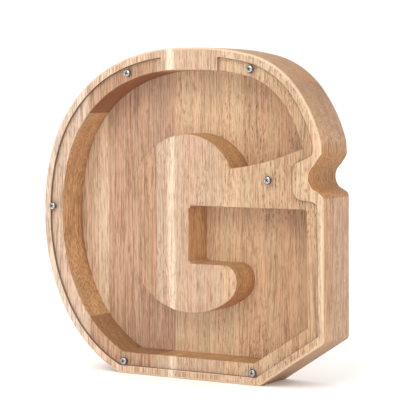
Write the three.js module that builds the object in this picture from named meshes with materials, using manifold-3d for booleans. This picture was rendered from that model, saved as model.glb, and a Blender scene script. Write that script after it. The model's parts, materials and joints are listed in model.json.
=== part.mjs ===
// A wooden money box in the shape of a rounded block letter, 200 mm high, standing on its flat base.
//
// The case is a board edge-glued from five upright staves, with a letter-shaped pocket milled into
// its front, a coin slot through the top, and a shallow recess round the pocket. A clear window lies
// flush in the recess, held by six pan-head screws.
//
// Millimetres. +X is to the right seen from the front, +Y runs from front to back, +Z is up. The origin
// lies in the base, midway between front and back, below the middle of the top edge.

import * as THREE from 'three';
import { mergeVertices } from 'three/addons/utils/BufferGeometryUtils.js';
import Module from 'manifold-3d';

// ---- Driving dimensions ----

const HEIGHT = 200;
const THICKNESS = 35;
const BACK_WALL = 11.5; // wood left behind the pocket
const LIP = 5; // width of the flush edge outside the window
const RIM = 13.2; // outer edge to pocket
const EDGE_ROUND = 2.2; // sanded outer edges, front and back

const RIGHT_SIDE = 89.7; // at the end of the crossbar
const RIGHT_CORNER = 90.3; // at the foot of the right side, which leans out a little
const BASE_LEFT = -53;
const BASE_RIGHT = 47.3;
const TOP_LEFT = -10; // where the flat middle of the top edge ends
const TOP_RIGHT = 4.2;

const STAVE_JOINTS = [-75.5, -25.5, 21.5, 69];
const GLUE_LINE = 0.2;

const WINDOW_THICKNESS = 2;
const WINDOW_GAP = 0.3; // round the edge of the window
const SEAT_GAP = 0.1; // window to ledge, and screw head to window
const RECESS_DEPTH = WINDOW_THICKNESS + 2 * SEAT_GAP;

const SLOT_CENTRE = -1;
const SLOT_LENGTH = 38;
const SLOT_WIDTH = 5;
const BRIDGE_LENGTH = 40; // full-height wood in front of the coin slot, where the recess stops
const BRIDGE_DROP = 0.7; // how far the pocket's curved edge falls below its top over the bridge

const HEAD_RADIUS = 2.4;
const HEAD_HEIGHT = 1.6;
const SHANK_RADIUS = 1.3;
const SHANK_LENGTH = 10;
const POINT_LENGTH = 3;
const PILOT_RADIUS = 1.5;
const PILOT_DEPTH = 9;
const WINDOW_HOLE_RADIUS = 1.7;

// Screw centres, as X and Z.
const SCREWS = {
  top_left: [-45.2, 185],
  top_right: [41.4, 186.9],
  left: [-102.3, 102],
  crossbar: [53.6, 122],
  bottom_left: [-48.3, 7.8],
  bottom_right: [43.5, 7.7],
};

// ---- Depths, worked out from the dimensions above ----

const FRONT = -THICKNESS / 2;
const BACK = THICKNESS / 2;
const LEDGE = FRONT + RECESS_DEPTH;
const POCKET_FLOOR = BACK - BACK_WALL;
const WINDOW_BACK = LEDGE - SEAT_GAP;
const WINDOW_FRONT = WINDOW_BACK - WINDOW_THICKNESS;
const HEAD_SEAT = WINDOW_FRONT - SEAT_GAP;
const SLOT_MIDDLE = (LEDGE + POCKET_FLOOR) / 2;
const OVERCUT = 1; // how far a cutter runs past a face

// ---- Outlines ----
//
// A run is a list of [x, z, radius]: where a stretch ends, and the radius of the arc that leads there.
// No radius is a straight stretch, a positive one bends left and a negative one bends right.
// Every outline goes anticlockwise as seen from the front.

const CHORD_ERROR = 0.02;
const MEETING_DISTANCE = 0.5; // ends of two runs that lie nearer than this are one point

// From the upper end of the notch over the top, down the left, along the base and up the right side.
// The recess and the pocket follow this line some way in, except that they lie nearer to the right side.
const OUTER_RIGHT = [
  [88.3, 26.9],
  [RIGHT_CORNER, 30.5, 3.8],
  [RIGHT_SIDE, 100],
];
const INNER_RIGHT = [
  [92.4, 29.6],
  [91.2, 100],
];
const ARCH_END = [87.9, 144.6];
const archRun = (right) => [
  ARCH_END,
  [70, 178.2, 86.8],
  [41.4, 195.5, 56.5],
  [TOP_RIGHT, HEIGHT, 156],
  [TOP_LEFT, HEIGHT],
  [-53.9, 191.3, 115.7],
  [-104.6, 134.6, 87],
  [-109.4, 98, 125],
  [-93.4, 36.2, 117.4],
  [BASE_LEFT, 0, 90.2],
  [BASE_RIGHT, 0],
  ...right,
];

// The right side goes on up to the start of the arch before the notch is scooped out of it. The scoop
// leaves sharp edges, so it runs past the board on the right and is cut after the outer edges are rounded.
const RIGHT_EDGE = [[RIGHT_SIDE, 112], ARCH_END];
const NOTCH = [
  [96, 109.5],
  [90, 109.5],
  [87.5, 115.1, 6.3],
  [82.9, 117.6],
  [83.6, 131, -8.7],
  [86.8, 135.6],
  [88.6, 145.5, 10.8],
  [96, 145.5],
];

// Where the recess steps inwards round the notch.
const RECESS_STEP = [
  [86.4, 105.6],
  [82.4, 110.2, 4.4],
  [76.5, 110.9],
  [70, 117.4, -6.5],
  [70, 129.6],
  [71.4, 131.8, -2.4],
  [81.2, 136.2],
  [83, 139.6, 3.6],
];

// The letter's crossbar and the island that it joins, from the right side of the pocket round to the
// upper end of the letter.
const ISLAND = [
  [78, 103.7],
  [76.5, 105.2, 1.5],
  [-1, 105.2],
  [-2.5, 103.7, -1.5],
  [-2.5, 72],
  [-1, 70.5, -1.5],
  [22.5, 70.5],
  [31.4, 61, -9.2],
  [26.5, 50, -14],
  [-3, 40.2, -45],
  [-45.8, 84, -43.5],
  [-45.5, 107, -300],
  [-5, 148.5, -43],
  [27, 128.4, -35],
  [75.2, 141.1, 170],
];

function arcPoints([x0, z0], [x1, z1, radius]) {
  const chord = Math.hypot(x1 - x0, z1 - z0);
  const side = Math.sign(radius);
  const size = Math.abs(radius);
  const toCentre = Math.sqrt(size * size - (chord * chord) / 4) * side;
  const centreX = (x0 + x1) / 2 - ((z1 - z0) / chord) * toCentre;
  const centreZ = (z0 + z1) / 2 + ((x1 - x0) / chord) * toCentre;
  const sweep = 2 * Math.asin(chord / (2 * size)) * side;
  const start = Math.atan2(z0 - centreZ, x0 - centreX);
  const steps = Math.max(2, Math.ceil(Math.abs(sweep) / Math.sqrt((8 * CHORD_ERROR) / size)));
  const points = [];
  for (let i = 1; i < steps; i++) {
    const angle = start + (sweep * i) / steps;
    points.push([centreX + size * Math.cos(angle), centreZ + size * Math.sin(angle)]);
  }
  points.push([x1, z1]);
  return points;
}

// The points along a run. A run that starts at another's end is given that end as its first entry.
function trace(run) {
  const points = [[run[0][0], run[0][1]]];
  for (let i = 1; i < run.length; i++) {
    if (run[i].length === 3) {
      points.push(...arcPoints(run[i - 1], run[i]));
    } else {
      points.push(run[i]);
    }
  }
  return points;
}

// The same line moved to its left, into the letter, by a distance. A loop's last point leads to its first.
function inset(points, distance, loop = false) {
  const count = points.length;
  const normals = points.map(([x0, z0], i) => {
    const [x1, z1] = points[(i + 1) % count];
    const length = Math.hypot(x1 - x0, z1 - z0);
    return [(z0 - z1) / length, (x1 - x0) / length];
  });
  return points.map(([x, z], i) => {
    const before = normals[loop ? (i + count - 1) % count : Math.max(i - 1, 0)];
    const after = normals[loop ? i : Math.min(i, count - 2)];
    const mitre = distance / (1 + before[0] * after[0] + before[1] * after[1]);
    return [x + (before[0] + after[0]) * mitre, z + (before[1] + after[1]) * mitre];
  });
}

// The arch moved inwards by a distance, and closed by a run of its own that ends near the arch's start.
function closedOutline(distance, run) {
  const right = distance > 0 ? INNER_RIGHT : OUTER_RIGHT;
  const arch = inset(trace(archRun(right)), distance);
  const closing = trace([arch.at(-1), ...run]).slice(1);
  const [x, z] = closing.at(-1);
  const meets = Math.hypot(x - arch[0][0], z - arch[0][1]) < MEETING_DISTANCE;
  return [...arch, ...(meets ? closing.slice(0, -1) : closing)];
}

// ---- Solids ----

const EDGE_SEGMENTS = 5; // round the sanded edges
const HOLE_SIDES = 16;
const SCREW_SIDES = 20;
const SLOT_END_SIDES = 8;

const wasm = await Module();
wasm.setup();
const { Manifold, Mesh } = wasm;

function solidOf(geometry) {
  const bare = new THREE.BufferGeometry();
  bare.setAttribute('position', geometry.getAttribute('position'));
  bare.setIndex(geometry.getIndex());
  const merged = mergeVertices(bare, 1e-4);
  return new Manifold(
    new Mesh({
      numProp: 3,
      vertProperties: Float32Array.from(merged.getAttribute('position').array),
      triVerts: Uint32Array.from(merged.getIndex().array),
    }),
  );
}

function geometryOf(solid) {
  const mesh = solid.getMesh();
  const geometry = new THREE.BufferGeometry();
  geometry.setAttribute('position', new THREE.BufferAttribute(mesh.vertProperties, 3));
  geometry.setIndex(new THREE.BufferAttribute(mesh.triVerts, 1));
  geometry.computeVertexNormals();
  return geometry;
}

// An outline seen from the front, as a solid from one depth to another.
function slab(points, front, back, round = 0) {
  const shape = new THREE.Shape(points.map(([x, z]) => new THREE.Vector2(x, z)));
  const geometry = new THREE.ExtrudeGeometry(shape, {
    depth: back - front - 2 * round,
    bevelEnabled: round > 0,
    bevelThickness: round,
    bevelSize: round,
    bevelOffset: -round,
    bevelSegments: EDGE_SEGMENTS,
    curveSegments: 1,
  });
  geometry.rotateX(Math.PI / 2);
  geometry.translate(0, back - round, 0);
  return solidOf(geometry);
}

function block([x0, y0, z0], [x1, y1, z1]) {
  const geometry = new THREE.BoxGeometry(x1 - x0, y1 - y0, z1 - z0);
  geometry.translate((x0 + x1) / 2, (y0 + y1) / 2, (z0 + z1) / 2);
  return solidOf(geometry);
}

// A round hole along Y.
function hole([x, z], radius, front, back) {
  const geometry = new THREE.CylinderGeometry(radius, radius, back - front, HOLE_SIDES);
  geometry.translate(x, (front + back) / 2, z);
  return solidOf(geometry);
}

// The wood that stands between the two ends of the recess, in front of the coin slot.
function bridgeBlock(clearance) {
  const half = BRIDGE_LENGTH / 2 + clearance;
  const underside = HEIGHT - RIM - BRIDGE_DROP - clearance;
  return block(
    [SLOT_CENTRE - half, FRONT - OVERCUT, underside],
    [SLOT_CENTRE + half, LEDGE + OVERCUT, HEIGHT + OVERCUT],
  );
}

function coinSlot() {
  const radius = SLOT_WIDTH / 2;
  const reach = SLOT_LENGTH / 2 - radius;
  const depth = RIM + 4 * OVERCUT;
  const shape = new THREE.Shape();
  shape.absarc(SLOT_CENTRE + reach, SLOT_MIDDLE, radius, -Math.PI / 2, Math.PI / 2);
  shape.absarc(SLOT_CENTRE - reach, SLOT_MIDDLE, radius, Math.PI / 2, Math.PI * 1.5);
  const settings = { depth, bevelEnabled: false, curveSegments: SLOT_END_SIDES };
  const geometry = new THREE.ExtrudeGeometry(shape, settings);
  geometry.translate(0, 0, HEIGHT + OVERCUT - depth);
  return solidOf(geometry);
}

function caseBoard() {
  const recess = slab(closedOutline(LIP, RECESS_STEP), FRONT - OVERCUT, LEDGE);
  const pocket = slab(closedOutline(RIM, ISLAND), FRONT - OVERCUT, POCKET_FLOOR);
  let board = slab(closedOutline(0, RIGHT_EDGE), FRONT, BACK, EDGE_ROUND)
    .subtract(slab(trace(NOTCH), FRONT - OVERCUT, BACK + OVERCUT))
    .subtract(recess.subtract(bridgeBlock(0)))
    .subtract(pocket)
    .subtract(coinSlot());
  for (const centre of Object.values(SCREWS)) {
    board = board.subtract(hole(centre, PILOT_RADIUS, LEDGE - OVERCUT, LEDGE + PILOT_DEPTH));
  }
  return board;
}

function staves() {
  const board = caseBoard();
  const edges = [-HEIGHT, ...STAVE_JOINTS, HEIGHT];
  return edges.slice(1).map((right, i) => {
    const low = [edges[i] + GLUE_LINE / 2, FRONT - OVERCUT, -OVERCUT];
    const high = [right - GLUE_LINE / 2, BACK + OVERCUT, HEIGHT + OVERCUT];
    return board.intersect(block(low, high));
  });
}

function windowPane() {
  const outline = inset(closedOutline(LIP, RECESS_STEP), WINDOW_GAP, true);
  let pane = slab(outline, WINDOW_FRONT, WINDOW_BACK).subtract(bridgeBlock(WINDOW_GAP));
  for (const centre of Object.values(SCREWS)) {
    pane = pane.subtract(hole(centre, WINDOW_HOLE_RADIUS, WINDOW_FRONT - OVERCUT, LEDGE));
  }
  return pane;
}

// A pan-head screw with its head up, above Y 0, and its point down. Two tapered blades cut the cross recess.
function screw() {
  const dome = [
    [0, HEAD_HEIGHT],
    [HEAD_RADIUS * 0.45, HEAD_HEIGHT * 0.94],
    [HEAD_RADIUS * 0.8, HEAD_HEIGHT * 0.68],
    [HEAD_RADIUS, HEAD_HEIGHT * 0.25],
    [HEAD_RADIUS, 0],
  ];
  const shank = [
    [SHANK_RADIUS, 0],
    [SHANK_RADIUS, -(SHANK_LENGTH - POINT_LENGTH)],
    [0, -SHANK_LENGTH],
  ];
  const profile = [...dome, ...shank].reverse().map(([r, y]) => new THREE.Vector2(r, y));
  const turned = new THREE.LatheGeometry(profile, SCREW_SIDES);
  let solid = solidOf(turned);
  for (const turn of [0, Math.PI / 2]) {
    const blade = new THREE.Shape([
      new THREE.Vector2(-HEAD_RADIUS * 0.6, HEAD_HEIGHT + OVERCUT),
      new THREE.Vector2(-HEAD_RADIUS * 0.35, HEAD_HEIGHT * 0.3),
      new THREE.Vector2(HEAD_RADIUS * 0.35, HEAD_HEIGHT * 0.3),
      new THREE.Vector2(HEAD_RADIUS * 0.6, HEAD_HEIGHT + OVERCUT),
    ]);
    const width = HEAD_RADIUS * 0.3;
    const geometry = new THREE.ExtrudeGeometry(blade, { depth: width, bevelEnabled: false });
    geometry.translate(0, 0, -width / 2);
    geometry.rotateY(turn);
    solid = solid.subtract(solidOf(geometry));
  }
  return solid;
}

// ---- The object ----

const wood = (colour) => new THREE.MeshStandardMaterial({ color: colour, roughness: 0.6, metalness: 0 });
const clear = new THREE.MeshStandardMaterial({
  color: 0xf4f7f8,
  roughness: 0.05,
  metalness: 0,
  transparent: true,
  opacity: 0.15,
});
const steel = new THREE.MeshStandardMaterial({ color: 0xb9babd, roughness: 0.28, metalness: 1 });

function part(name, geometry, material) {
  const mesh = new THREE.Mesh(geometry, material);
  mesh.name = name;
  return mesh;
}

const moneyBox = new THREE.Group();

const STAVE_COLOURS = [0xe6c8ad, 0xd9b193, 0xe2c29c, 0xd2aa80, 0xd9b48a];
staves().forEach((solid, i) => {
  moneyBox.add(part(`stave_${i + 1}`, geometryOf(solid), wood(STAVE_COLOURS[i])));
});

moneyBox.add(part('window', geometryOf(windowPane()), clear));

const screwGeometry = geometryOf(screw());
screwGeometry.rotateX(Math.PI);
for (const [place, [x, z]] of Object.entries(SCREWS)) {
  const mesh = part(`screw_${place}`, screwGeometry, steel);
  mesh.position.set(x, HEAD_SEAT, z);
  moneyBox.add(mesh);
}

export default moneyBox;
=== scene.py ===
# Looks of the wooden money box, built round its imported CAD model.
#
# Metres, in the CAD frame: +X to the right seen from the front, +Y from front to back, +Z up.

import json
import math

import bmesh
import bpy
from mathutils import Matrix, Vector


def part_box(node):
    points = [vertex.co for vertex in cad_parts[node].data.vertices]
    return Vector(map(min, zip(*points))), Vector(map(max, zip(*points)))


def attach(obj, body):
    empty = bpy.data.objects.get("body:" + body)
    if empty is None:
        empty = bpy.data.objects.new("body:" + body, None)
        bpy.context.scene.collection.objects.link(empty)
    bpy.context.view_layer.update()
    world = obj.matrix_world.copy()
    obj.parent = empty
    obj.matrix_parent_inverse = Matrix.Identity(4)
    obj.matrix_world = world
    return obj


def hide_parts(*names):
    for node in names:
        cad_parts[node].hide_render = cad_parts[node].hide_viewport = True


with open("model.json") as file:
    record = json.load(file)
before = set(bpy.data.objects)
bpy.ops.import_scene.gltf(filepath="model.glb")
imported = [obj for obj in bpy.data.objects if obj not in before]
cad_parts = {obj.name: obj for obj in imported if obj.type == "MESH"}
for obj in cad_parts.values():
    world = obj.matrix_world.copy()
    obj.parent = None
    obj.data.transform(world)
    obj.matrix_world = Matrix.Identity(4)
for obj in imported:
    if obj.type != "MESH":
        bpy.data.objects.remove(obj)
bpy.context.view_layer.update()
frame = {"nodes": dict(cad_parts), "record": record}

MM = 0.001
STAVES = ["stave_1", "stave_2", "stave_3", "stave_4", "stave_5"]
SCREWS = [name for name in sorted(frame["nodes"]) if name.startswith("screw_")]

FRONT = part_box("stave_3")[0].y
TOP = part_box("stave_3")[1].z
SEAT_GAP = 0.1 * MM  # between the window and the ledge that it lies on
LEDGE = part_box("window")[1].y + SEAT_GAP
POCKET_DEPTH = 23.5 * MM  # from the front face to the pocket's floor
POCKET_FLOOR = FRONT + POCKET_DEPTH

OPENINGS = {o["name"]: o["box_m"] for o in frame["record"]["physics"]["openings"]}
SLOT_BOX = OPENINGS["coin_slot"]
NOTCH_BOX = OPENINGS["notch"]
SLOT_REACH = 2 * MM  # how far round the slot its rounded mouth goes
NOTCH_REACH = 4 * MM  # how far the notch goes on to the left of its opening's box
SCREW_REACH = 3 * MM  # how far from a screw's axis the edges of its pilot hole lie

# The bridge is the stretch of full-height wood between the two ends of the recess, in front of the slot.
BRIDGE_CENTRE = -1 * MM
BRIDGE_HALF = 20 * MM

# Heights that tell the faces and edges near the top apart.
BRIDGE_FOOT = TOP - 16 * MM  # the bridge's faces lie above this
BRIDGE_ENDS = TOP - 14 * MM  # an edge above this that keeps to one X is at an end of the bridge
POCKET_TOP = TOP - 10 * MM  # the pocket's edge under the bridge lies below this
OUTSIDE_TOP = TOP - 4 * MM  # a face above this that looks up is outside
SLOT_MOUTH = TOP - 3 * MM  # the edges of the slot's mouth lie above this

RIM_ROUND = 0.7 * MM  # edge of the pocket and of the island
LIP_ROUND = 0.4 * MM  # inner edge of the lip round the window
SLOT_ROUND = 0.7 * MM  # mouth of the coin slot
WINDOW_ROUND = 0.15 * MM
WINDOW_GAP = 0.35 * MM  # a little more than the room round the window
SHARP = math.radians(50)  # edges that turn more than this are rounded
GLUE_LINE = 0.04 * MM  # half the line left between two staves
NEAR = 0.01 * MM


# ---- Node helpers ----


class Nodes:
    """Short calls for building one material's node tree."""

    def __init__(self, name):
        self.material = bpy.data.materials.new(name)
        self.material.use_nodes = True
        self.tree = self.material.node_tree
        self.tree.nodes.clear()
        self.output = self.tree.nodes.new("ShaderNodeOutputMaterial")

    def add(self, kind, inputs=None, **settings):
        node = self.tree.nodes.new(kind)
        for key, value in settings.items():
            setattr(node, key, value)
        for key, value in (inputs or {}).items():
            self.feed(node.inputs[key], value)
        return node

    def feed(self, socket, value):
        if isinstance(value, bpy.types.NodeSocket):
            self.tree.links.new(value, socket)
        else:
            socket.default_value = value

    def math(self, operation, *values, clamp=False):
        node = self.add("ShaderNodeMath", operation=operation, use_clamp=clamp)
        for socket, value in zip(node.inputs, values):
            self.feed(socket, value)
        return node.outputs[0]

    def vector(self, operation, a, b):
        node = self.add("ShaderNodeVectorMath", {0: a, 1: b}, operation=operation)
        return node.outputs[0]

    def scaled(self, value, low, high, to_low=0.0, to_high=1.0):
        inputs = {"Value": value, "From Min": low, "From Max": high}
        inputs |= {"To Min": to_low, "To Max": to_high}
        return self.add("ShaderNodeMapRange", inputs).outputs[0]

    def mix(self, factor, a, b, blend="MIX"):
        node = self.add("ShaderNodeMix", data_type="RGBA", blend_type=blend)
        self.feed(node.inputs["Factor"], factor)
        self.feed(node.inputs["A"], a)
        self.feed(node.inputs["B"], b)
        return node.outputs["Result"]

    def noise(self, vector, detail, roughness=0.5):
        inputs = {"Vector": vector, "Scale": 1.0, "Detail": detail, "Roughness": roughness}
        return self.add("ShaderNodeTexNoise", inputs).outputs["Fac"]

    def principled(self, **inputs):
        shader = self.add("ShaderNodeBsdfPrincipled")
        for key, value in inputs.items():
            self.feed(shader.inputs[key.replace("_", " ")], value)
        self.tree.links.new(shader.outputs[0], self.output.inputs["Surface"])
        return shader


def linear(hex_colour):
    """An sRGB colour such as 0xE6C8AD as linear RGBA."""
    channels = [(hex_colour >> shift & 255) / 255 for shift in (16, 8, 0)]
    return (*[c / 12.92 if c <= 0.04045 else ((c + 0.055) / 1.055) ** 2.4 for c in channels], 1)


# ---- Wood ----

# What the board's own colour is multiplied by, for each kind of mark in the wood.
HUE_PINK = (1.03, 0.985, 0.96, 1)
HUE_STRAW = (0.97, 1.01, 1.0, 1)
DARK_GRAIN = (0.6, 0.49, 0.41, 1)
LIGHT_GRAIN = (1.15, 1.2, 1.24, 1)
MIDDLE_GRAIN = 0.75  # between the two, where the wood has its board's own colour
PORE = (0.45, 0.33, 0.25, 1)
# The blotch colour also serves as painted shade, at the foot of the pocket's walls and on its rounded
# edges.
BLOTCH_AND_SHADE = (0.62, 0.5, 0.4, 1)

# Painted highlight colour for the rounded outer edges.
EDGE_HIGHLIGHT = 0xFBE2C0
EDGE_HIGHLIGHT_STRENGTH = 0.4  # how much of that colour the rounded outer edges take
# The pocket's rounded edges take the blotch colour as painted shade.
RIM_SHADE_STRENGTH = 0.55  # how much of the blotch colour the pocket's rounded edges take

# How closely each kind of mark is packed, for each millimetre of X, Y and Z. Marks run along Z.
WANDER_SCALE = (0.03, 0.05, 0.008)
HUE_SCALE = (0.17, 0.17, 0.006)
LINE_SCALE = (1.25, 1.25, 0.022)
FIBRE_SCALE = (1.7, 1.7, 0.15)
VEIN_SCALE = (1.9, 1.9, 0.018)
PORE_SCALE = (1.0, 1.0, 0.26)
PORE_PATCH_SCALE = (0.06, 0.06, 0.022)
BLOTCH_SCALE = (0.13, 0.13, 0.045)

SWAY = 7.0  # how far the fibres wander from side to side, in millimetres
RING_STRENGTH = 0.9
LINE_STRENGTH = 2.6
FIBRE_STRENGTH = 3.1
VEIN_STRENGTH = 0.5

# Each stave runs from one colour at its left side to another at its right, at the front face and at the
# floor of the pocket and behind it. "lip" multiplies the colour of the lip outside the window; it is
# partly the lip's own tone and partly a painted highlight that widens the bright band along the outer
# edge. The pith is the middle of the tree's rings, as X, Y and how far it leans for each millimetre up.
# "streaks",
# "lines" and "pores" are how strong those marks are. "end" is how far end grain shows where the stave is
# cut across. "sapwood" is the X of a thin pale stripe. All lengths are in millimetres.
BOARDS = {
    "stave_1": {
        "front": (0xD0B096, 0xD8B8A0),
        "back": (0xC09070, 0xE0C4A4),
        "lip": (0.97, 1.07, 1.13, 1),
        "pith": (-60, 70, 0.05),
        "streaks": 0.9,
        "lines": 0.8,
        "end": 0.25,
        "pores": 0.5,
        "sapwood": None,
    },
    "stave_2": {
        "front": (0xC09878, 0xBA9070),
        "back": (0xC8A080, 0xC29A7C),
        "lip": (1.25, 1.48, 1.78, 1),
        "pith": (-40, 55, 0.08),
        "streaks": 1.2,
        "lines": 1.2,
        "end": 1.0,
        "pores": 0.5,
        "sapwood": None,
    },
    "stave_3": {
        "front": (0xC8A68A, 0xCAA486),
        "back": (0xDCBA96, 0xDCB890),
        "lip": (0.92, 0.95, 0.97, 1),
        "pith": (20, 60, 0.04),
        "streaks": 0.8,
        "lines": 0.7,
        "end": 0.5,
        "pores": 0.8,
        "sapwood": -14.5,
    },
    "stave_4": {
        "front": (0xD2AE8A, 0xC29C78),
        "back": (0xD2AA84, 0xBC926C),
        "lip": (0.97, 1.04, 1.18, 1),
        "pith": (60, 50, -0.06),
        "streaks": 0.9,
        "lines": 0.8,
        "end": 0.6,
        "pores": 1.2,
        "sapwood": None,
    },
    "stave_5": {
        "front": (0xBE9470, 0xC8A07C),
        "back": (0xB08A6C, 0xC09C80),
        "lip": (1.05, 1.16, 1.3, 1),
        "pith": (95, 60, 0.05),
        "streaks": 1.0,
        "lines": 1.0,
        "end": 0.6,
        "pores": 1.0,
        "sapwood": None,
    },
}
SAPWOOD = 0xE6CCB0
SAPWOOD_CORE, SAPWOOD_HALF = 1.0, 4.0  # half widths, of its palest part and of all of it

# How each way of cutting leaves the wood: what it multiplies side grain and end grain by, how much of
# the marks it leaves to be seen on each, how blotched it is, and how much painted shade darkens the foot
# of the pocket's walls. The pocket's walls are more orange, partly router burn and partly painted shade,
# and their end grain is darker as painted shade on walls that do not face up. The step round the window
# is dark brown, partly burn and partly painted shade in that narrow gap.
CUTS = {
    "sanded": {
        "side": (1, 1, 1, 1),
        "end": (1, 1, 1, 1),
        "lines": (1.0, 0.8),
        "blotches": 0.0,
        "foot": 0.0,
    },
    "outside": {
        "side": (0.99, 0.98, 0.96, 1),
        "end": (0.6, 0.53, 0.42, 1),
        "lines": (0.9, 0.35),
        "blotches": 0.35,
        "foot": 0.0,
    },
    # Walls that don't face up: the darker end grain is painted shade, the orange partly router burn and
    # partly painted shade.
    "routed_shaded": {
        "side": (1.11, 0.95, 0.63, 1),
        "end": (0.62, 0.31, 0.08, 1),
        "lines": (1.5, 1.3),
        "blotches": 0.5,
        "foot": 0.5,
    },
    "sill": {
        "side": (1.11, 0.95, 0.63, 1),
        "end": (0.72, 0.64, 0.4, 1),
        "lines": (1.5, 1.3),
        "blotches": 0.5,
        "foot": 0.5,
    },
    "scooped": {
        "side": (0.87, 0.72, 0.44, 1),
        "end": (0.8, 0.62, 0.36, 1),
        "lines": (1.2, 1.0),
        "blotches": 0.35,
        "foot": 0.0,
    },
    # The step round the window: its dark brown is partly burn and partly painted shade in the narrow
    # gap.
    "stepped_shaded": {
        "side": (0.4, 0.26, 0.15, 1),
        "end": (0.34, 0.22, 0.12, 1),
        "lines": (0.4, 0.2),
        "blotches": 0.0,
        "foot": 0.0,
    },
}
FOOT_SHADE_NARROWNESS = 6.0  # how close to the foot that darkness stays
SCOOP_LOW, SCOOP_HIGH = 109, 146  # where the notch's own tone has faded into the outside's, as Z
SCOOP_FADE_LOW, SCOOP_FADE_HIGH = 5, 10  # how far it takes to fade, in millimetres


def fibre_place(n, millimetres, seed):
    """A place as the fibres lie, which wander far more slowly up the stave than across it.

    Both results are in millimetres. The first is moved to the seed's own part of the noise.
    """
    shifted = n.vector("ADD", millimetres, (seed * 137.0, seed * 59.0, seed * 311.0))
    wander = n.noise(n.vector("MULTIPLY", shifted, WANDER_SCALE), detail=2)
    sway = n.math("MULTIPLY", n.math("SUBTRACT", wander, 0.5), SWAY)
    offset = n.add("ShaderNodeCombineXYZ", {"X": sway}).outputs[0]
    return n.vector("ADD", shifted, offset), n.vector("ADD", millimetres, offset)


def board_colour(n, board, span, grain, where, depth):
    """The board's own colour, with its stripe and slow changes of hue from pinkish to straw."""
    across = n.scaled(where["X"], span[0] / MM, span[1] / MM)
    left, right = board["front"]
    front = n.mix(across, linear(left), linear(right))
    left, right = board["back"]
    back = n.mix(across, linear(left), linear(right))
    if board["sapwood"] is not None:
        from_stripe = n.math("ABSOLUTE", n.math("SUBTRACT", where["X"], board["sapwood"]))
        front = n.mix(n.scaled(from_stripe, SAPWOOD_HALF, SAPWOOD_CORE), front, linear(SAPWOOD))
    base = n.mix(depth, front, back)
    hue = n.noise(n.vector("MULTIPLY", grain, HUE_SCALE), detail=2)
    return n.mix(1.0, base, n.mix(n.scaled(hue, 0.36, 0.64), HUE_PINK, HUE_STRAW), "MULTIPLY")


def growth_rings(n, board, swayed, where):
    """Rings a few millimetres wide round a leaning pith."""
    pith_x, pith_y, lean = board["pith"]
    leaned = n.math("MULTIPLY_ADD", where["Z"], lean, pith_x)
    pith = n.add("ShaderNodeCombineXYZ", {"X": leaned, "Y": pith_y}).outputs[0]
    spoke = n.vector("MULTIPLY", n.vector("SUBTRACT", swayed, pith), (1, 1, 0))
    radius = n.add("ShaderNodeVectorMath", {0: spoke}, operation="LENGTH").outputs["Value"]
    ring_place = n.add("ShaderNodeCombineXYZ", {
        "X": n.math("MULTIPLY", radius, 0.5),
        "Y": n.math("MULTIPLY", where["X"], 0.06),
        "Z": n.math("MULTIPLY", where["Z"], 0.007),
    })
    return n.noise(ring_place.outputs[0], detail=4, roughness=0.6)


def short_pores(n, grain):
    """Short dark pores, which crowd together in patches."""
    cell_place = n.vector("MULTIPLY", grain, PORE_SCALE)
    cells = n.add("ShaderNodeTexVoronoi", {"Vector": cell_place, "Scale": 1.0}).outputs
    cell_value = n.add("ShaderNodeSeparateColor", {0: cells["Color"]}).outputs["Red"]
    crowding = n.noise(n.vector("MULTIPLY", grain, PORE_PATCH_SCALE), detail=2)
    patches = n.scaled(crowding, 0.42, 0.62, 0.25, 1.0)
    chosen = n.math("MULTIPLY", n.scaled(cell_value, 0.25, 0.8), patches)
    return n.math("MULTIPLY", n.scaled(cells["Distance"], 0.4, 0.2), chosen)


def cut_tone(n, board, cut, upright, where):
    """What the way of cutting multiplies the colour by, painted shade included. The notch's tone fades
    into the outside's.
    """
    end_grain = n.math("MULTIPLY", upright, board["end"])
    tone = n.mix(end_grain, cut["side"], cut["end"])
    if cut is not CUTS["scooped"]:
        return tone
    rise = n.scaled(where["Z"], SCOOP_LOW, SCOOP_LOW + SCOOP_FADE_LOW)
    fall = n.scaled(where["Z"], SCOOP_HIGH, SCOOP_HIGH - SCOOP_FADE_HIGH)
    outside = n.mix(end_grain, CUTS["outside"]["side"], CUTS["outside"]["end"])
    return n.mix(n.math("MINIMUM", rise, fall), outside, tone)


def edge_highlight_and_shade(n, colour, normal, where):
    """Painted highlight on the outer rounded edges, and painted shade on the pocket's rounded edges."""
    facing = n.math("ABSOLUTE", normal["Y"])
    slope = n.math("MULTIPLY", facing, n.math("SUBTRACT", 1.0, facing))
    rounding = n.scaled(slope, 0.05, 0.2)
    from_middle = n.math("ABSOLUTE", where["Y"])
    inside, outside = -LEDGE / MM - 0.2, -LEDGE / MM + 0.2
    # Painted highlight on the rounded outer edges.
    sanded = n.math("MULTIPLY", rounding, n.scaled(from_middle, inside, outside, 0.0, EDGE_HIGHLIGHT_STRENGTH))
    colour = n.mix(sanded, colour, linear(EDGE_HIGHLIGHT))
    # Painted shade on the pocket's rounded edges.
    rim_shade = n.scaled(from_middle, inside, outside, RIM_SHADE_STRENGTH, 0.0)
    rim_shade = n.math("MULTIPLY", rounding, rim_shade)
    return n.mix(rim_shade, colour, n.mix(1.0, colour, BLOTCH_AND_SHADE, "MULTIPLY"))


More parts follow.
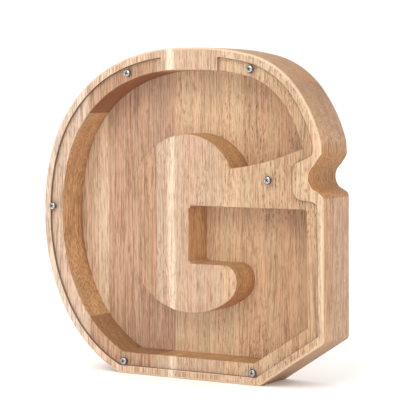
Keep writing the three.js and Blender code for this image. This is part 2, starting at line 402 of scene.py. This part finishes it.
def wood(name, board, span, seed, cut):
    """Rubberwood whose fibres run along Z. The span is the X of the board's left and right sides."""
    n = Nodes(name)
    coordinates = n.add("ShaderNodeTexCoord").outputs
    normal = n.add("ShaderNodeSeparateXYZ", {0: coordinates["Normal"]}).outputs
    millimetres = n.vector("MULTIPLY", coordinates["Object"], (1000, 1000, 1000))
    grain, swayed = fibre_place(n, millimetres, seed)
    where = n.add("ShaderNodeSeparateXYZ", {0: swayed}).outputs
    depth = n.scaled(where["Y"], FRONT / MM + 3, POCKET_FLOOR / MM)
    base = board_colour(n, board, span, grain, where, depth)

    # Growth rings, fibre lines under a millimetre wide, finer fibres and thin dark veins. All marks show
    # less where the wood is cut across the grain.
    rings = growth_rings(n, board, swayed, where)
    lines = n.noise(n.vector("MULTIPLY", grain, LINE_SCALE), detail=2, roughness=0.55)
    fibres = n.noise(n.vector("MULTIPLY", grain, FIBRE_SCALE), detail=3, roughness=0.65)
    veins = n.scaled(n.noise(n.vector("MULTIPLY", grain, VEIN_SCALE), detail=1), 0.54, 0.64)
    upright = n.math("ABSOLUTE", normal["Z"])
    seen = n.scaled(upright, 0.0, 1.0, *cut["lines"])
    shade = n.math("MULTIPLY", n.math("SUBTRACT", rings, 0.5), RING_STRENGTH * board["streaks"])
    shade = n.math("MULTIPLY_ADD", n.math("SUBTRACT", lines, 0.5), LINE_STRENGTH * board["lines"], shade)
    shade = n.math("MULTIPLY_ADD", n.math("SUBTRACT", fibres, 0.5), FIBRE_STRENGTH, shade)
    shade = n.math("MULTIPLY_ADD", veins, -VEIN_STRENGTH * board["lines"], shade)
    shade = n.math("MULTIPLY_ADD", shade, seen, MIDDLE_GRAIN, clamp=True)
    colour = n.mix(1.0, base, n.mix(shade, DARK_GRAIN, LIGHT_GRAIN), "MULTIPLY")
    pores = short_pores(n, grain)
    pore_depth = n.math("MULTIPLY", pores, n.math("MULTIPLY", seen, board["pores"]), clamp=True)
    colour = n.mix(pore_depth, colour, n.mix(1.0, colour, PORE, "MULTIPLY"))

    # Cut faces take a tone of their own, partly painted shade, with blotches and painted shade at the
    # foot of the pocket's walls.
    colour = n.mix(1.0, colour, cut_tone(n, board, cut, upright, where), "MULTIPLY")
    clouds = n.noise(n.vector("MULTIPLY", grain, BLOTCH_SCALE), detail=4, roughness=0.6)
    darkness = n.math("MULTIPLY", n.scaled(clouds, 0.38, 0.66), cut["blotches"])
    # Painted shade at the foot of the pocket's walls.
    darkness = n.math("MULTIPLY_ADD", n.math("POWER", depth, FOOT_SHADE_NARROWNESS), cut["foot"], darkness)
    colour = n.mix(darkness, colour, n.mix(1.0, colour, BLOTCH_AND_SHADE, "MULTIPLY"))

    # The lip outside the window has a tint of its own, partly a painted highlight. The rounded outer
    # edges take a painted highlight, and the pocket's rounded edges painted shade.
    at_lip = n.scaled(where["Y"], LEDGE / MM - 0.2, FRONT / MM + 0.4)
    colour = n.mix(at_lip, colour, n.mix(1.0, colour, board["lip"], "MULTIPLY"))
    colour = edge_highlight_and_shade(n, colour, normal, where)

    height = n.math("SUBTRACT", n.math("MULTIPLY", fibres, 0.3), pores)
    bump = n.add("ShaderNodeBump", {"Strength": 0.3, "Distance": 0.06 * MM, "Height": height})
    rough = n.scaled(lines, 0.35, 0.65, 0.66, 0.54)
    n.principled(Base_Color=colour, Roughness=rough, Normal=bump.outputs[0], Specular_IOR_Level=0.35)
    return n.material


# ---- Clear window and steel ----


def clear_acrylic(name, alpha, roughness, colour):
    n = Nodes(name)
    place = n.add("ShaderNodeTexCoord").outputs["Object"]
    smears = n.noise(n.vector("MULTIPLY", place, (60, 60, 60)), detail=3)
    rough = n.scaled(smears, 0.3, 0.7, roughness, roughness + 0.06)
    n.principled(Base_Color=colour, Roughness=rough, IOR=1.49, Alpha=alpha)
    return n.material


def zinc_steel(name, dull, bright):
    n = Nodes(name)
    place = n.add("ShaderNodeTexCoord").outputs["Object"]
    fine = n.noise(n.vector("MULTIPLY", place, (1500, 1500, 1500)), detail=4)
    broad = n.noise(n.vector("MULTIPLY", place, (500, 500, 500)), detail=2)
    colour = n.mix(n.scaled(broad, 0.35, 0.65), linear(dull), linear(bright))
    rough = n.scaled(fine, 0.3, 0.7, 0.22, 0.38)
    bump = n.add("ShaderNodeBump", {"Strength": 0.15, "Distance": 0.03 * MM, "Height": fine})
    n.principled(Base_Color=colour, Metallic=1.0, Roughness=rough, Normal=bump.outputs[0])
    return n.material


# ---- Finer copies of the CAD shapes ----


def flat_faced(node):
    """A CAD node's shape with each flat face in one piece, ready for its edges to be rounded."""
    source = frame["nodes"][node].data
    bare = bpy.data.meshes.new(node)
    bare.from_pydata([v.co for v in source.vertices], [], [list(p.vertices) for p in source.polygons])
    bm = bmesh.new()
    bm.from_mesh(bare)
    bpy.data.meshes.remove(bare)
    bmesh.ops.remove_doubles(bm, verts=bm.verts, dist=NEAR / 5)
    bmesh.ops.dissolve_limit(bm, angle_limit=math.radians(0.4), verts=bm.verts, edges=bm.edges)
    bmesh.ops.recalc_face_normals(bm, faces=bm.faces)
    return bm


def rounded(bm, name, radius_of, widest, segments):
    """An object from bm, each outward edge rounded to the radius that radius_of gives it."""
    weight = bm.edges.layers.float.new("bevel_weight_edge")
    for edge in bm.edges:
        if len(edge.link_faces) == 2 and edge.calc_face_angle_signed() > SHARP:
            edge[weight] = radius_of(edge) / widest
    mesh = bpy.data.meshes.new(name)
    bm.to_mesh(mesh)
    bm.free()
    made = bpy.data.objects.new(name, mesh)
    bpy.context.scene.collection.objects.link(made)
    bevel = made.modifiers.new("bevel", "BEVEL")
    bevel.limit_method = "WEIGHT"
    bevel.width = widest
    bevel.segments = segments
    bevel.use_clamp_overlap = False
    evaluated = made.evaluated_get(bpy.context.evaluated_depsgraph_get())
    made.data = bpy.data.meshes.new_from_object(evaluated)
    made.modifiers.clear()
    bpy.data.meshes.remove(mesh)
    made.data.name = name
    smooth(made)
    return made


def smooth(made, angle=35):
    """Smooth shading, with edges kept sharp where faces meet at more than the angle in degrees."""
    made.data.shade_smooth()
    made.data.set_sharp_from_angle(angle=math.radians(angle))
    normals = made.modifiers.new("normals", "WEIGHTED_NORMAL")
    normals.keep_sharp = True
    normals.weight = 80


def lies_at(edge, y):
    return all(abs(v.co.y - y) < NEAR for v in edge.verts)


def near_screw(point):
    for name in SCREWS:
        low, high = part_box(name)
        if (point.xz - (low.xz + high.xz) / 2).length < SCREW_REACH:
            return True
    return False


def in_notch(point):
    return point.x > NOTCH_BOX[0][0] - NOTCH_REACH and SCOOP_LOW < point.z / MM < SCOOP_HIGH


def stave_edge_radius(edge, cuts):
    """How far an edge of a stave is rounded. The cuts are the X of the stave's glued faces."""
    first, second = [v.co for v in edge.verts]
    middle = (first + second) / 2
    keeps_one_x = abs(first.x - second.x) < NEAR
    if keeps_one_x and middle.z > BRIDGE_ENDS:
        return 0
    if any(abs(first.x - cut) < NEAR and abs(second.x - cut) < NEAR for cut in cuts):
        return 0
    under_bridge = abs(middle.x - BRIDGE_CENTRE) < BRIDGE_HALF - NEAR and middle.z < POCKET_TOP
    if lies_at(edge, FRONT):
        return RIM_ROUND if under_bridge else LIP_ROUND
    if lies_at(edge, LEDGE) and not near_screw(middle):
        return RIM_ROUND
    if in_notch(middle):
        return LIP_ROUND
    low, high = SLOT_BOX
    along = low[0] - SLOT_REACH < middle.x < high[0] + SLOT_REACH
    across = low[1] - SLOT_REACH / 2 < middle.y < high[1] + SLOT_REACH / 2
    if along and across and middle.z > SLOT_MOUTH:
        return SLOT_ROUND
    return 0


def cut_of(polygon, vertices):
    """How a face of a stave was cut, judged by where it lies and which way it faces."""
    middle = polygon.center
    tilt = abs(polygon.normal.y)
    if tilt > 0.3:
        return "sanded"
    if polygon.normal.z > 0.5 and middle.z > OUTSIDE_TOP:
        return "outside"
    depths = [vertices[i].co.y for i in polygon.vertices]
    if max(depths) < LEDGE + NEAR:
        over_bridge = abs(middle.x - BRIDGE_CENTRE) < BRIDGE_HALF + MM and middle.z > BRIDGE_FOOT
        # The step's walls round the window take the stepped tone, partly painted shade.
        return "sanded" if tilt > 0.02 or over_bridge else "stepped_shaded"
    if max(depths) < POCKET_FLOOR + NEAR:
        # Walls that face up take the sill tone; the others take the darker routed tone as painted shade.
        return "sill" if polygon.normal.z > 0 else "routed_shaded"
    return "scooped" if in_notch(middle) else "outside"


def make_staves():
    """The five staves, moved together until only a fine line is left at each glued joint."""
    joints = []
    for left, right in zip(STAVES, STAVES[1:]):
        joints.append((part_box(left)[1].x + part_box(right)[0].x) / 2)
    for i, node in enumerate(STAVES):
        bm = flat_faced(node)
        low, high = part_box(node)
        cuts = []
        if i > 0:
            cuts.append((low.x, joints[i - 1] + GLUE_LINE))
        if i < len(joints):
            cuts.append((high.x, joints[i] - GLUE_LINE))
        span = (low.x, high.x)
        for old, new in cuts:
            for vertex in bm.verts:
                if abs(vertex.co.x - old) < NEAR:
                    vertex.co.x = new
        planes = [new for _, new in cuts]
        made = rounded(bm, f"{node}_wood", lambda e: stave_edge_radius(e, planes), RIM_ROUND, 4)
        slots = {}
        for polygon in made.data.polygons:
            kind = cut_of(polygon, made.data.vertices)
            if kind not in slots:
                slots[kind] = len(slots)
                material = wood(f"{node}_{kind}", BOARDS[node], span, i + 1, CUTS[kind])
                made.data.materials.append(material)
            polygon.material_index = slots[kind]
        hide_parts(node)
        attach(made, "case")


def make_window():
    """The clear pane, which fits the ends of the bridge as closely as the staves fit each other."""
    bm = flat_faced("window")
    for vertex in bm.verts:
        beside = abs(vertex.co.x - BRIDGE_CENTRE) - BRIDGE_HALF
        if 0 < beside < WINDOW_GAP and vertex.co.z > BRIDGE_FOOT:
            vertex.co.x += math.copysign(beside - GLUE_LINE, BRIDGE_CENTRE - vertex.co.x)
    made = rounded(bm, "window_pane", lambda edge: WINDOW_ROUND, WINDOW_ROUND, 2)
    made.data.materials.append(clear_acrylic("acrylic_face", 0.035, 0.03, (0.2, 0.22, 0.22, 1)))
    # The pane's edges are tinted dark brown and made less clear as painted shade in the gap round the
    # window.
    made.data.materials.append(clear_acrylic("acrylic_edge_shade", 0.4, 0.2, (0.3, 0.24, 0.19, 1)))
    for polygon in made.data.polygons:
        polygon.material_index = int(abs(polygon.normal.y) < 0.9)
    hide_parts("window")
    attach(made, "front_window")


# ---- Screws, in millimetres ----

HEAD_RADIUS = 2.4
HEAD_HEIGHT = 1.6
THREAD_RADIUS = 1.28
CORE_RADIUS = 0.85
THREAD_PITCH = 1.1
SHANK_END = 10.0
HEAD_SIDE = 0.45  # upright side of the head, below its dome
NECK = 0.3
SHOULDER = 1.15  # radius of the neck where it meets the head
HEAD_FULLNESS = 0.85  # 1 is a round dome, less is a flatter one with fuller sides
THREAD_START = 1.6  # below the head
THREAD_FADE = 2.0  # how far the thread takes to sink in again before the tip
RIDGE_HALF = 0.22  # half the width of the thread's ridge, as a share of its pitch
TIP_LENGTH = 3.0
SCREW_ROUND = 0.04  # edges of the recess and of the head
SCREW_SIDES = 40
THREAD_STEPS = 110
HEAD_STEPS = 12

# The cross recess is cut by two blades, which taper from top to bottom. These are half widths.
BLADE_TOP, BLADE_BOTTOM = HEAD_HEIGHT + 0.6, 0.45
BLADE_WIDE, BLADE_NARROW = 1.75, 0.55
BLADE_THICK, BLADE_THIN = 0.36, 0.22
RECESS_REACH = 1.9  # the recess lies within this radius
RECESS_SKIN = 0.06  # a place this far below the dome is inside the recess
SHADED_SIDE_START = 0.84  # beyond this share of the head's radius is the head's side

# How far each screw's recess is turned, in degrees.
SCREW_TURNS = {
    "screw_top_left": 20,
    "screw_top_right": 65,
    "screw_left": 50,
    "screw_crossbar": 35,
    "screw_bottom_left": 75,
    "screw_bottom_right": 10,
}


def thread_radius(z, angle):
    """The surface of a tapering single-start thread, z below the head."""
    phase = (z / THREAD_PITCH - angle / (2 * math.pi)) % 1
    ridge = max(0.0, 1 - abs(phase - 0.5) / RIDGE_HALF)
    fade = min(1.0, max(0.0, z - THREAD_START)) * min(1.0, max(0.0, (SHANK_END - z) / THREAD_FADE))
    taper = min(1.0, max(0.05, (SHANK_END - z) / TIP_LENGTH))
    return (CORE_RADIUS + (THREAD_RADIUS - CORE_RADIUS) * ridge * fade) * taper


def head_profile():
    """Radius and height of the pan head, from its crown to the neck under it."""
    crown = HEAD_HEIGHT - HEAD_SIDE
    points = []
    for i in range(1, HEAD_STEPS + 1):
        angle = math.radians(90 * i / HEAD_STEPS)
        radius = HEAD_RADIUS * math.sin(angle) ** HEAD_FULLNESS
        points.append((radius, HEAD_SIDE + crown * math.cos(angle)))
    return points + [(HEAD_RADIUS, 0.12), (HEAD_RADIUS - 0.1, 0), (SHOULDER, 0), (0.95, -NECK)]


def dome_height(from_axis):
    """How high the head is at a distance from its axis, above its seat."""
    angle = math.asin(min(1.0, (from_axis / HEAD_RADIUS) ** (1 / HEAD_FULLNESS)))
    return HEAD_SIDE + (HEAD_HEIGHT - HEAD_SIDE) * math.cos(angle)


def screw_mesh():
    """A pan-head wood screw in millimetres, its head's seat at Z 0 and its head up."""
    bm = bmesh.new()
    angles = [2 * math.pi * i / SCREW_SIDES for i in range(SCREW_SIDES)]
    heights = [NECK + (SHANK_END - NECK) * k / THREAD_STEPS for k in range(1, THREAD_STEPS)]
    rings = [[(radius, z) for _ in angles] for radius, z in head_profile()]
    rings += [[(thread_radius(z, angle), -z) for angle in angles] for z in heights]
    rows = []
    for ring in rings:
        row = []
        for angle, (radius, z) in zip(angles, ring):
            row.append(bm.verts.new((radius * math.cos(angle), radius * math.sin(angle), z)))
        rows.append(row)
    for upper, lower in zip(rows, rows[1:]):
        for i in range(SCREW_SIDES):
            j = (i + 1) % SCREW_SIDES
            bm.faces.new((upper[i], upper[j], lower[j], lower[i]))
    for row, tip in ((rows[0], HEAD_HEIGHT), (rows[-1], -SHANK_END)):
        end = bm.verts.new((0, 0, tip))
        for i in range(SCREW_SIDES):
            bm.faces.new((end, row[i], row[(i + 1) % SCREW_SIDES]))
    bmesh.ops.recalc_face_normals(bm, faces=bm.faces)
    mesh = bpy.data.meshes.new("screw")
    bm.to_mesh(mesh)
    bm.free()
    return mesh


def blade_mesh(turn):
    """One blade of the cross recess, turned about the screw's axis."""
    bm = bmesh.new()
    ends = ((BLADE_BOTTOM, BLADE_NARROW, BLADE_THIN), (BLADE_TOP, BLADE_WIDE, BLADE_THICK))
    corners = []
    for z, half, thick in ends:
        for x, y in ((-half, -thick), (half, -thick), (half, thick), (-half, thick)):
            corners.append(bm.verts.new((x, y, z)))
    for face in ((3, 2, 1, 0), (4, 5, 6, 7), (0, 1, 5, 4), (1, 2, 6, 5), (2, 3, 7, 6), (3, 0, 4, 7)):
        bm.faces.new([corners[i] for i in face])
    bmesh.ops.rotate(bm, verts=bm.verts, cent=(0, 0, 0), matrix=Matrix.Rotation(turn, 3, "Z"))
    bmesh.ops.recalc_face_normals(bm, faces=bm.faces)
    mesh = bpy.data.meshes.new("blade")
    bm.to_mesh(mesh)
    bm.free()
    return mesh


def in_painted_shade(place):
    """Whether a place on the screw, in millimetres, is the head's side or inside its recess, where the
    steel is darker as painted shade.
    """
    from_axis = math.hypot(place.x, place.y)
    in_recess = from_axis < RECESS_REACH and 0 < place.z < dome_height(from_axis) - RECESS_SKIN
    return in_recess or (from_axis > SHADED_SIDE_START * HEAD_RADIUS and place.z > 0)


def recessed_screw():
    """The screw's finished mesh in metres, its head's seat at Y 0 and its head towards the front."""
    shape = bpy.data.objects.new("screw_shape", screw_mesh())
    bpy.context.scene.collection.objects.link(shape)
    blades = []
    for turn in (0, math.pi / 2):
        blade = bpy.data.objects.new("blade", blade_mesh(turn))
        bpy.context.scene.collection.objects.link(blade)
        blades.append(blade)
        cut = shape.modifiers.new("cut", "BOOLEAN")
        cut.operation = "DIFFERENCE"
        cut.solver = "EXACT"
        cut.object = blade
    soften = shape.modifiers.new("soften", "BEVEL")
    soften.limit_method = "ANGLE"
    soften.angle_limit = math.radians(40)
    soften.width = SCREW_ROUND
    soften.segments = 2
    evaluated = shape.evaluated_get(bpy.context.evaluated_depsgraph_get())
    mesh = bpy.data.meshes.new_from_object(evaluated)
    mesh.name = "pan_head_screw"
    mesh.materials.append(zinc_steel("zinc_steel", 0x9C9DA0, 0xC6C5C2))
    # The recess and the head's side take a darker steel as painted shade, and on the side as a painted
    # dark reflection.
    mesh.materials.append(zinc_steel("zinc_steel_shaded", 0x635E55, 0x7D776C))
    for polygon in mesh.polygons:
        polygon.material_index = int(in_painted_shade(polygon.center))
    mesh.transform(Matrix.Scale(MM, 4))
    mesh.transform(Matrix.Rotation(math.pi / 2, 4, "X"))
    for helper in [shape, *blades]:
        bpy.data.objects.remove(helper)
    return mesh


def make_screws():
    """Each screw's head keeps the place and the height of its CAD head."""
    mesh = recessed_screw()
    bodies = frame["record"]["behaviour"]["bodies"]
    for name in SCREWS:
        low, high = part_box(name)
        made = bpy.data.objects.new(f"{name}_turned", mesh.copy())
        bpy.context.scene.collection.objects.link(made)
        seat = ((low.x + high.x) / 2, low.y + HEAD_HEIGHT * MM, (low.z + high.z) / 2)
        made.data.transform(Matrix.Rotation(math.radians(SCREW_TURNS[name]), 4, "Y"))
        made.data.transform(Matrix.Translation(seat))
        smooth(made, 30)
        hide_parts(name)
        body = next(key for key, nodes in bodies.items() if name in nodes)
        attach(made, body)


# ---- Stage ----

# The photo's camera, which looks at AIM from the right and a little above. Lens and sensor are in mm.
AZIMUTH, ELEVATION = math.radians(31.666), math.radians(3.615)
AIM = Vector((0.012626, FRONT, 0.104471))
DISTANCE = 1.06426
LENS, SENSOR = 154.36, 36

FLOOR_HALF = 6
MIDDLE = (0, 0, 0.1)
KEY_PLACE = (0.15, -1.4, 1.3)
KEY_SIZE, KEY_POWER = 1.2, 13
SKY_STRENGTH = 1.04


def make_camera():
    data = bpy.data.cameras.new("camera")
    data.sensor_width = SENSOR
    data.lens = LENS
    data.clip_start, data.clip_end = 0.01, 20
    camera = bpy.data.objects.new("camera", data)
    bpy.context.scene.collection.objects.link(camera)
    back = Vector((
        math.sin(AZIMUTH) * math.cos(ELEVATION),
        -math.cos(AZIMUTH) * math.cos(ELEVATION),
        math.sin(ELEVATION),
    ))
    camera.location = AIM + back * DISTANCE
    camera.rotation_euler = (-back).to_track_quat("-Z", "Y").to_euler()
    bpy.context.scene.camera = camera


def area_light(name, place, target, size, power):
    data = bpy.data.lights.new(name, "AREA")
    data.shape = "DISK"
    data.size = size
    data.energy = power
    light = bpy.data.objects.new(name, data)
    light.location = place
    light.rotation_euler = (Vector(target) - Vector(place)).to_track_quat("-Z", "Y").to_euler()
    bpy.context.scene.collection.objects.link(light)


def floor_paper():
    n = Nodes("floor_paper")
    place = n.add("ShaderNodeTexCoord").outputs["Object"]
    patches = n.noise(n.vector("MULTIPLY", place, (3, 3, 3)), detail=2)
    colour = n.mix(patches, (0.96, 0.96, 0.96, 1), (0.98, 0.98, 0.98, 1))
    n.principled(Base_Color=colour, Roughness=0.9, Emission_Color=(1, 1, 1, 1), Emission_Strength=0.1)
    return n.material


def make_stage():
    bm = bmesh.new()
    bmesh.ops.create_grid(bm, x_segments=8, y_segments=8, size=FLOOR_HALF)
    mesh = bpy.data.meshes.new("floor")
    bm.to_mesh(mesh)
    bm.free()
    mesh.materials.append(floor_paper())
    floor = bpy.data.objects.new("floor", mesh)
    bpy.context.scene.collection.objects.link(floor)

    world = bpy.data.worlds.new("studio")
    world.use_nodes = True
    background = world.node_tree.nodes["Background"]
    background.inputs["Color"].default_value = (1, 1, 1, 1)
    background.inputs["Strength"].default_value = SKY_STRENGTH
    bpy.context.scene.world = world
    bpy.context.scene.view_settings.view_transform = "Standard"
    area_light("key", KEY_PLACE, MIDDLE, KEY_SIZE, KEY_POWER)


make_staves()
make_window()
make_screws()
make_camera()
make_stage()
